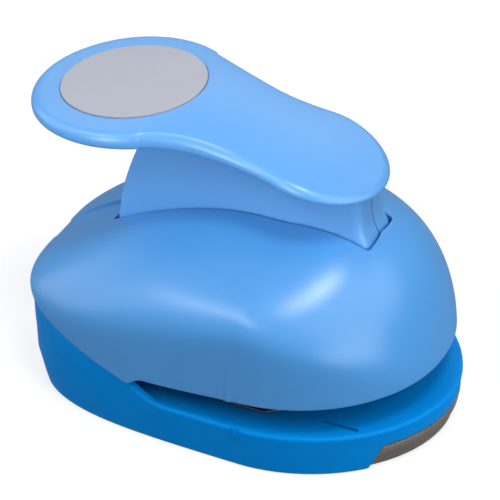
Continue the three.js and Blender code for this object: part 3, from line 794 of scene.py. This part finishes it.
def tray_face():
    """The curved front of the tray, with its upper band standing proud of its lower band."""
    slant = (MOUTH_BOTTOM_HALF - MOUTH_TOP_HALF) / TRAY_TOP
    lower = [(4.2, GAP), (1.05, GAP), (0.75, 0.6), (0.62, 1.2), (0.32, TRAY_STEP_Z - 0.25), (0.3, TRAY_STEP_Z)]
    upper = [(-0.12, TRAY_STEP_Z + 0.22), (-0.2, TRAY_STEP_Z + 0.5), (-0.32, TRAY_TOP - 0.75),
             (-0.2, TRAY_TOP - 0.42), (0.1, TRAY_TOP - 0.3), (4.2, TRAY_TOP - 0.3)]
    rings = []
    for s in np.linspace(-1, 1, 121):
        ring = []
        for inset, z in lower + upper:
            y = s * (MOUTH_BOTTOM_HALF - slant * z - 0.1)
            draft = FOOT_INSET * (1 - z / DRAFT_HEIGHT)
            x = float(outline_x(np.array(y), inset + draft + 0.1))
            ring.append((x, y, z))
        rings.append(ring)
    return ring_mesh("tray_face", rings)


def chip_tray(material):
    def plan(grow):
        rear, half = TRAY_REAR - grow, TRAY_HALF + grow
        nose = [(float(outline_x(np.array(y), 3 - grow)), y) for y in np.linspace(half, -half, 31)]
        return [(rear, -half), (rear, half)] + nose

    body = slab("tray_body", plan(0), TRAY_FLOOR, TRAY_TOP - 0.3)
    hollow = slab("tray_hollow", plan(-TRAY_WALL), TRAY_FLOOR + TRAY_WALL, 20)
    cut(body, hollow)
    join(body, tray_face())
    return place(body, "chip_tray_moulding", material, "tray", "smoked_plastic", "chip_tray")


# ---------------------------------------------------------------- mechanism

def steel_plate(name, z, holes):
    plate = slab(name, plate_outline(0, 1.2), z, z + PLATE_THICK, 0.18)
    return cut(plate, *[cylinder("hole", r, 0, ABOVE, x, y, sides) for x, y, r, sides in holes])


def rivet_holes():
    return [(x, side * RIVET_Y, RIVET_R + GAP, 32) for x in RIVET_X for side in (1, -1)]


def die_plate(material):
    plate = steel_plate("die", DIE_PLATE_Z, [(DIE_X, 0, CUTTER_R + GAP, 144)] + rivet_holes())
    return place(plate, "die_plate_steel", material, "frame", "plate_steel", "die_plate")


def guide_plate(material):
    holes = [(DIE_X, 0, CUTTER_R + GAP, 144)] + rivet_holes()
    holes += [(DIE_X, side * POST_Y, POST_R + GAP, 32) for side in (1, -1)]
    holes += [(PLATE_SCREW[0], side * PLATE_SCREW[1], SHANK_BORE_R, 32) for side in (1, -1)]
    plate = steel_plate("guide", GUIDE_PLATE_Z, holes)
    return place(plate, "guide_plate_steel", material, "frame", "plate_steel", "guide_plate")


def plate_rivet(x, y, name, node, material):
    low, high = DIE_PLATE_Z, GUIDE_PLATE_Z + PLATE_THICK
    collar_low, collar_high = DIE_PLATE_Z + PLATE_THICK + GAP, GUIDE_PLATE_Z - GAP
    profile = [(0, low), (RIVET_R, low), (RIVET_R, collar_low), (COLLAR_R, collar_low), (COLLAR_R, collar_high),
               (RIVET_R, collar_high), (RIVET_R, high), (0, high)]
    piece = turned(name, rounded(profile, 0.25, steps=3), x, y)
    return place(piece, name, material, "frame", "fastener_steel", node)


def guide_post(side, name, node, material):
    profile = [(0, GUIDE_PLATE_Z), (POST_R, GUIDE_PLATE_Z), (POST_R, WING_TOP + GAP), (4, WING_TOP + GAP),
               (4, WING_TOP + 2.3), (0, WING_TOP + 2.3)]
    piece = turned(name, rounded(profile, 0.35, steps=3), DIE_X, side * POST_Y)
    return place(piece, name, material, "frame", "fastener_steel", node)


def return_spring(side, name, node, material):
    """A round wire wound between the guide plate and the wing of the press block, with closed end turns."""
    wire, r, turns = SPRING["wire"], SPRING["r"] - SPRING["wire"], SPRING["turns"]
    low, high = SPRING["bottom"] + wire, SPRING["top"] - wire
    rings = []
    steps = 60 * (turns + 1)
    for i in range(steps + 1):
        share = i / steps
        angle = 2 * math.pi * (turns + 1) * share
        lift = np.interp(share, (0, 0.13, 0.87, 1), (0, 0.07, 0.93, 1))
        centre = np.array([DIE_X + r * math.cos(angle), side * POST_Y + r * math.sin(angle),
                           low + (high - low) * lift])
        out = np.array([math.cos(angle), math.sin(angle), 0])
        rings.append([centre + wire * (math.cos(b) * out + math.sin(b) * np.array([0, 0, 1]))
                      for b in np.linspace(0, 2 * math.pi, 13)[:-1]])
    piece = place(ring_mesh(name, rings), name, material, "frame", "spring_steel", node)
    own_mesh(piece)
    return piece


def screw(x, y, head_low, head_high, head_r, shank_end, face_up):
    """A pan-head screw with a cross recess in its face."""
    if face_up:
        profile = [(0, shank_end), (SCREW_R, shank_end), (SCREW_R, head_low), (head_r, head_low),
                   (head_r, head_high), (0, head_high)]
    else:
        profile = [(0, head_low), (head_r, head_low), (head_r, head_high), (SCREW_R, head_high),
                   (SCREW_R, shank_end), (0, shank_end)]
    piece = turned("screw", rounded(profile, 0.35, steps=3), x, y, 48)
    face = head_high if face_up else head_low
    depth = 0.45 * (head_high - head_low)
    low, high = sorted((face - depth if face_up else face + depth, face + 1 if face_up else face - 1))
    arms = [block("recess", x - a, x + a, y - b, y + b, low, high)
            for a, b in ((0.62 * head_r, 0.14 * head_r), (0.14 * head_r, 0.62 * head_r))]
    return cut(piece, *arms)


def place_screw(piece, node, material, body):
    return place(piece, f"{node}_steel", material, body, "fastener_steel", node)


def press_block(material):
    top = WING_TOP - 0.2
    profile = rounded([(0, BLOCK_BOTTOM), (BLOCK_R, BLOCK_BOTTOM), (BLOCK_R, top), (0, top)], 0.5)
    body = turned("block", profile, DIE_X, 0, 120)
    wings = block("wings", DIE_X - 6, DIE_X + 6, -32, 32, WING_BOTTOM, WING_TOP, 0.5)
    pad = block("pad", DIE_X - 8, DIE_X + 8, -6, 6, WING_TOP - 1, PAD_TOP, 0.6)
    join(body, wings, pad)
    for side in (1, -1):
        post_bore = cylinder("bore", POST_R + GAP, 20, ABOVE, DIE_X, side * POST_Y)
        screw_bore = stepped_bore("step", PILOT_R, HEAD_BORE_R, 20, WING_BOTTOM, ABOVE, DIE_X,
                                  side * CUTTER_SCREW_Y)
        cut(body, post_bore, screw_bore)
    return place(body, "press_block_moulding", material, "press", "block_plastic", "press_block")


def punch_cutter(material):
    """The round cutter, hollow-ground underneath so that its edge shears the paper."""
    top = BLOCK_BOTTOM - GAP
    profile = [(0, CUTTER_BOTTOM + 1.6), (8, CUTTER_BOTTOM + 1.25), (14, CUTTER_BOTTOM + 0.65),
               (CUTTER_R - 0.05, CUTTER_BOTTOM), (CUTTER_R, CUTTER_BOTTOM + 0.1), (CUTTER_R, top - 0.4),
               (CUTTER_R - 0.4, top), (0, top)]
    piece = turned("cutter", profile, DIE_X, 0, 144)
    cut(piece, *[cylinder("hole", PILOT_R, 17.5, ABOVE, DIE_X, side * CUTTER_SCREW_Y, 32) for side in (1, -1)])
    return place(piece, "punch_cutter_steel", material, "press", "plate_steel", "punch_cutter")


def pivot_pin(material):
    piece = bar("pin", *PIVOT, rounded(bar_profile(PIN_R, PIN_HALF), 0.4, steps=3))
    return place(piece, "pivot_pin_steel", material, "frame", "fastener_steel", "pivot_pin")


def bottom_cover(material):
    inset = BASE_WALL + FOOT_INSET + GAP
    angles = np.linspace(0, 2 * np.pi, 241)[:-1]
    reach = outline_radius(angles, BASE_OUTLINE) - inset
    outline = [(WIDE_X + r * math.cos(a), r * math.sin(a)) for a, r in zip(angles, reach)]
    plate = slab("cover", outline, 0, COVER_THICK, 0.3)
    holes = [cylinder("hole", HEAD_BORE_R, -1, 5, x, side * y) for x, y in HOUSING_SCREWS for side in (1, -1)]
    cut(plate, block("nose", 46, 80, -50, 50, -1, 5), *holes)
    return place(plate, "bottom_cover_moulding", material, "frame", "base_plastic", "bottom_cover")


# ---------------------------------------------------------------- finishes

def linear(rgb):
    """Scene-linear colour, with alpha, from display values of 0 to 255."""
    return [((c / 255 + 0.055) / 1.055) ** 2.4 if c > 10 else c / 255 / 12.92 for c in rgb] + [1.0]


class Finish:
    """A node material under construction."""

    def __init__(self, name):
        self.material = bpy.data.materials.new(name)
        self.material.use_nodes = True
        self.tree = self.material.node_tree
        self.shader = self.tree.nodes["Principled BSDF"]
        self.place = self.tree.nodes.new("ShaderNodeTexCoord").outputs["Object"]

    def noise(self, scale, detail, stretch=None):
        """Noise fixed to the piece; scale is features per metre, stretch its scale along X, Y and Z."""
        source = self.place
        if stretch:
            mapping = self.tree.nodes.new("ShaderNodeMapping")
            mapping.inputs["Scale"].default_value = stretch
            self.tree.links.new(source, mapping.inputs["Vector"])
            source = mapping.outputs["Vector"]
        node = self.tree.nodes.new("ShaderNodeTexNoise")
        node.inputs["Scale"].default_value = scale
        node.inputs["Detail"].default_value = detail
        self.tree.links.new(source, node.inputs["Vector"])
        return node.outputs["Fac"]

    def spread(self, value, low, high):
        """Maps a noise value onto low to high."""
        node = self.tree.nodes.new("ShaderNodeMapRange")
        node.inputs["From Min"].default_value = 0.3
        node.inputs["From Max"].default_value = 0.7
        node.inputs["To Min"].default_value = low
        node.inputs["To Max"].default_value = high
        self.tree.links.new(value, node.inputs["Value"])
        return node.outputs["Result"]

    def tint(self, value, first, second):
        """Colours the surface between two colours by a noise value."""
        node = self.tree.nodes.new("ShaderNodeMix")
        node.data_type = "RGBA"
        node.inputs[6].default_value = linear(first)
        node.inputs[7].default_value = linear(second)
        self.tree.links.new(value, node.inputs[0])
        self.tree.links.new(node.outputs[2], self.shader.inputs["Base Color"])

    def rough(self, value, low, high):
        self.tree.links.new(self.spread(value, low, high), self.shader.inputs["Roughness"])

    def bump(self, value, strength, depth):
        node = self.tree.nodes.new("ShaderNodeBump")
        node.inputs["Strength"].default_value = strength
        node.inputs["Distance"].default_value = depth
        self.tree.links.new(value, node.inputs["Height"])
        previous = self.shader.inputs["Normal"]
        if previous.is_linked:
            self.tree.links.new(previous.links[0].from_socket, node.inputs["Normal"])
        self.tree.links.new(node.outputs["Normal"], previous)


def moulded(name, first, second, roughness, grain=0.12):
    """Satin moulded plastic: a faint cloudiness, fine spark texture and slow sink marks."""
    finish = Finish(name)
    finish.tint(finish.noise(28, 2), first, second)
    finish.rough(finish.noise(1100, 3), roughness - 0.015, roughness + 0.02)
    finish.bump(finish.noise(2600, 2), grain, 0.00003)
    finish.bump(finish.noise(40, 1), 0.04, 0.0002)
    finish.shader.inputs["IOR"].default_value = 1.58
    finish.shader.inputs["Subsurface Weight"].default_value = 0.1
    finish.shader.inputs["Subsurface Radius"].default_value = (0.4, 0.7, 1.0)
    finish.shader.inputs["Subsurface Scale"].default_value = 0.003
    return finish.material


def smoked(name):
    """Grey plastic of the tray, cloudy, that lets a little light through."""
    finish = Finish(name)
    finish.tint(finish.noise(60, 3), (126, 119, 113), (138, 130, 123))
    finish.rough(finish.noise(300, 3), 0.22, 0.34)
    finish.bump(finish.noise(2400, 2), 0.08, 0.00003)
    finish.shader.inputs["IOR"].default_value = 1.52
    finish.shader.inputs["Transmission Weight"].default_value = 0.06
    finish.shader.inputs["Subsurface Weight"].default_value = 0.15
    finish.shader.inputs["Subsurface Scale"].default_value = 0.002
    return finish.material


def film(name):
    """The plain matt label: printed film with a very fine tooth."""
    finish = Finish(name)
    finish.tint(finish.noise(90, 2), (160, 164, 175), (164, 168, 179))
    finish.rough(finish.noise(500, 3), 0.5, 0.6)
    finish.bump(finish.noise(4200, 2), 0.08, 0.00002)
    finish.shader.inputs["Specular IOR Level"].default_value = 0.3
    return finish.material


def steel(name, first, second, low, high, stretch):
    """Brushed or drawn steel, its grain along the direction that stretch leaves long."""
    finish = Finish(name)
    finish.tint(finish.noise(120, 4, stretch), first, second)
    finish.rough(finish.noise(900, 4, stretch), low, high)
    finish.bump(finish.noise(1500, 3, stretch), 0.2, 0.00002)
    finish.shader.inputs["Metallic"].default_value = 1.0
    return finish.material


# ---------------------------------------------------------------- stage, light and camera

CAMERA_TURN = math.radians(24.864)
CAMERA_TILT = math.radians(34.952)
CAMERA_DISTANCE = 607.14
CAMERA_TARGET = (-2.08, 0.0, 40.79)
LENS = 158.5
SENSOR = 36.0


def floor_finish():
    finish = Finish("pale_floor")
    finish.tint(finish.noise(3, 1), (150, 150, 152), (153, 153, 155))
    finish.rough(finish.noise(40, 2), 0.85, 0.95)
    finish.shader.inputs["Specular IOR Level"].default_value = 0.1
    finish.shader.inputs["Emission Color"].default_value = (1, 1, 1, 1)
    finish.shader.inputs["Emission Strength"].default_value = 0.72
    return finish.material


def make_floor():
    reach = 3000
    corners = [(-reach, -reach, 0), (reach, -reach, 0), (reach, reach, 0), (-reach, reach, 0)]
    floor = new_object("floor", corners, [(0, 1, 2, 3)])
    floor.location.z = -0.0002
    floor.data.materials.append(floor_finish())
    floor.visible_diffuse = False
    floor.visible_glossy = False
    floor.visible_transmission = False


def make_world(sky, ground):
    """Even pale light, brightest overhead, that fades to a dimmer tone at the horizon and below."""
    world = bpy.data.worlds.new("studio")
    world.use_nodes = True
    nodes, links = world.node_tree.nodes, world.node_tree.links
    direction = nodes.new("ShaderNodeTexCoord").outputs["Generated"]
    split = nodes.new("ShaderNodeSeparateXYZ")
    fade = nodes.new("ShaderNodeMapRange")
    fade.interpolation_type = "SMOOTHSTEP"
    fade.inputs["From Min"].default_value = -0.1
    fade.inputs["From Max"].default_value = 0.7
    fade.inputs["To Min"].default_value = ground
    fade.inputs["To Max"].default_value = sky
    background = nodes["Background"]
    background.inputs["Color"].default_value = (0.98, 0.99, 1, 1)
    links.new(direction, split.inputs[0])
    links.new(split.outputs["Z"], fade.inputs["Value"])
    links.new(fade.outputs["Result"], background.inputs["Strength"])
    bpy.context.scene.world = world


def softbox(name, place_at, wide, tall, radiance, only=None):
    """A rectangular light that faces the middle of the object; radiance is its brightness against white.

    With `only`, the light falls on that collection alone.
    """
    data = bpy.data.lights.new(name, "AREA")
    data.shape = "RECTANGLE"
    data.size = wide
    data.size_y = tall
    data.energy = radiance * math.pi * wide * tall
    light = bpy.data.objects.new(name, data)
    light.location = place_at
    light.rotation_mode = "QUATERNION"
    light.rotation_quaternion = (Vector(place_at) - Vector((0, 0, 0.04))).to_track_quat("Z", "Y")
    bpy.context.scene.collection.objects.link(light)
    if only:
        light.light_linking.receiver_collection = only


def light_group(name, *pieces):
    """A collection of pieces for a light that falls on them alone."""
    group = bpy.data.collections.new(name)
    for piece in pieces:
        group.objects.link(bpy.data.objects[piece])
    return group


def make_lights():
    upper = light_group("upper_group", "lever_body", "upper_housing_shell", "label_film")
    lever_only = light_group("lever_group", "lever_body")
    base_only = light_group("base_group", "base_shell")
    make_world(0.5, 0.22)
    softbox("key_box", (-0.35, -0.55, 0.78), 0.8, 0.16, 6.6)
    softbox("spot_box", (0.26, -0.2, 0.96), 0.22, 0.22, 21.0)
    softbox("right_box", (0.8, -0.1, 0.6), 1.1, 0.8, 1.7)
    softbox("front_right_box", (0.95, -0.45, 0.12), 0.8, 0.4, 2.8, upper)
    softbox("low_left_box", (-0.9, -0.2, 0.3), 0.9, 0.7, 1.3, upper)
    softbox("back_box", (-0.3, 1.0, 0.75), 1.1, 0.6, 0.9)
    softbox("base_left_box", (-0.95, -0.3, 0.05), 0.5, 0.12, 17.0, base_only)
    softbox("base_nose_box", (0.95, -0.35, 0.05), 0.5, 0.12, 13.0, base_only)
    softbox("lever_fill", (-0.1, -1.0, 0.25), 0.5, 0.5, 6.6, lever_only)


def make_camera():
    data = bpy.data.cameras.new("camera")
    data.lens = LENS
    data.sensor_width = SENSOR
    data.clip_start = 0.01
    data.clip_end = 20
    camera = bpy.data.objects.new("camera", data)
    level = math.cos(CAMERA_TILT)
    back = Vector((math.sin(CAMERA_TURN) * level, -math.cos(CAMERA_TURN) * level, math.sin(CAMERA_TILT)))
    camera.location = Vector(CAMERA_TARGET) * MM + back * CAMERA_DISTANCE * MM
    camera.rotation_mode = "QUATERNION"
    camera.rotation_quaternion = back.to_track_quat("Z", "Y")
    bpy.context.scene.collection.objects.link(camera)
    bpy.context.scene.camera = camera


# ---------------------------------------------------------------- the object

def build_object():
    housing_plastic = moulded("satin_blue_housing", (70, 144, 210), (75, 148, 214), 0.3, 0.3)
    base_plastic = moulded("satin_blue_base", (0, 126, 208), (0, 131, 213), 0.4, 0.25)
    base_plastic.node_tree.nodes["Principled BSDF"].inputs["Specular IOR Level"].default_value = 0.04
    lever_plastic = moulded("satin_blue_lever", (82, 146, 208), (87, 150, 212), 0.3, 0.25)
    block_plastic = moulded("moulded_block", (58, 60, 64), (66, 68, 72), 0.5)
    plate_metal = steel("ground_steel", (168, 170, 172), (186, 188, 190), 0.24, 0.38, (0.08, 1, 1))
    fastener_metal = steel("plated_steel", (186, 186, 184), (200, 200, 198), 0.2, 0.3, (1, 1, 0.15))
    spring_metal = steel("spring_wire", (150, 150, 148), (172, 172, 170), 0.25, 0.4, (0.3, 0.3, 1))

    upper_housing(housing_plastic)
    base_piece(base_plastic)
    lever(lever_plastic)
    label_disc(film("plain_label"))
    chip_tray(smoked("smoked_tray"))
    bottom_cover(base_plastic)
    die_plate(plate_metal)
    guide_plate(plate_metal)
    punch_cutter(plate_metal)
    press_block(block_plastic)
    pivot_pin(fastener_metal)
    for side, word in ((1, "left"), (-1, "right")):
        guide_post(side, f"guide_post_{word}_steel", f"guide_post_{word}", fastener_metal)
        return_spring(side, f"return_spring_{word}_wire", f"return_spring_{word}", spring_metal)
        place_screw(screw(DIE_X, side * CUTTER_SCREW_Y, WING_BOTTOM + GAP, 31.5, SCREW_HEAD_R, 18, True),
                    f"cutter_screw_{word}", fastener_metal, "press")
        place_screw(screw(PLATE_SCREW[0], side * PLATE_SCREW[1], 13.9, 14.7, 3, SHANK_END, False),
                    f"plate_screw_{word}", fastener_metal, "frame")
        for number, x in enumerate(RIVET_X, 1):
            node = f"plate_rivet_{word}_{number}"
            plate_rivet(x, side * RIVET_Y, f"{node}_steel", node, fastener_metal)
        for number, (x, y) in enumerate(HOUSING_SCREWS, 1):
            place_screw(screw(x, side * y, 7, DECK_BOTTOM - GAP, SCREW_HEAD_R, SHANK_END, False),
                        f"housing_screw_{word}_{number}", fastener_metal, "frame")


make_camera()
make_floor()
build_object()
make_lights()
bpy.context.scene.view_settings.view_transform = "Standard"
